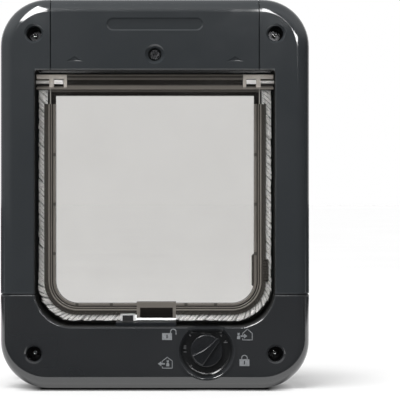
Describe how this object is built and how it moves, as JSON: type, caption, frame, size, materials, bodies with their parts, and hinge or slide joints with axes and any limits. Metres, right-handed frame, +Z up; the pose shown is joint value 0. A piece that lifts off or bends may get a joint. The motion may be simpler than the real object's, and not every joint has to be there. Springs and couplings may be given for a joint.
{
  "type": "cat flap",
  "caption": "Lockable cat flap with a rounded dark frame, a clear brush-edged swinging panel, a turn dial on the sill and a lined tunnel for a door.",
  "frame": {"origin": "bottom centre of the bounding box, on the surface it stands on", "axes": "+Z up, +X to the right seen from the room, the room side faces -Y"},
  "size_m": [0.208, 0.0869, 0.262],
  "materials": {
    "slate_plastic": "gloss",
    "sill_plastic": "satin",
    "smoked_window": "clear gloss",
    "smoked_rim": "clear gloss",
    "smoked_rail": "gloss",
    "pale_plastic": "satin",
    "bright_steel": "satin",
    "dark_steel": "satin",
    "black_gloss": "gloss",
    "black_matte": "matte",
    "brush_fibre": "fibre",
    "magnet": "matte",
    "cell_wrap": "satin",
    "circuit_board": "satin"
  },
  "bodies": {
    "frame": {"inner_frame": "slate_plastic", "top_cover": "slate_plastic", "top_cover_screw": "dark_steel", "bottom_cover": "slate_plastic", "tunnel_liner": "slate_plastic", "outer_frame": "slate_plastic", "fixing_screws": "dark_steel", "catch_guide": "sill_plastic", "sill_magnet": "magnet", "in_catch_spring": "bright_steel", "out_catch_spring": "bright_steel", "battery_tray": "black_matte", "battery_contacts": "bright_steel", "control_board": "circuit_board", "battery_cell_1": "cell_wrap", "battery_cell_2": "cell_wrap", "battery_cell_3": "cell_wrap", "battery_cell_4": "cell_wrap"},
    "flap": {"flap_panel": "smoked_window", "flap_bezel": "smoked_rim", "hinge_rail": "smoked_rail", "hinge_bracket_left": "pale_plastic", "hinge_bracket_right": "pale_plastic", "hinge_pin_left": "bright_steel", "hinge_pin_right": "bright_steel", "brush_left": "brush_fibre", "brush_right": "brush_fibre", "closer_magnet": "magnet", "strike_plate": "bright_steel", "strike_block": "black_matte"},
    "dial": {"lock_dial": "black_gloss", "dial_cam": "black_gloss", "dial_screw": "bright_steel"},
    "in_catch": {"in_catch": "black_matte"},
    "out_catch": {"out_catch": "black_matte"}
  },
  "joints": [
    {"name": "flap_swing", "type": "hinge", "parent": "frame", "child": "flap", "pos_m": [0, -0.0225, 0.2068], "axis": [1, 0, 0], "range_deg": [-85, 85]},
    {"name": "dial_turn", "type": "hinge", "parent": "frame", "child": "dial", "pos_m": [0.0347, -0.0355, 0.0256], "axis": [0, -1, 0], "range_deg": [-90, 180]},
    {"name": "in_catch_lift", "type": "slide", "parent": "frame", "child": "in_catch", "axis": [0, 0, 1], "range_m": [0, 0.005], "stiffness_N_per_m": 40, "springref_m": -0.002, "deforming": ["in_catch_spring"]},
    {"name": "out_catch_lift", "type": "slide", "parent": "frame", "child": "out_catch", "axis": [0, 0, 1], "range_m": [0, 0.005], "stiffness_N_per_m": 40, "springref_m": -0.002, "deforming": ["out_catch_spring"]}
  ]
}
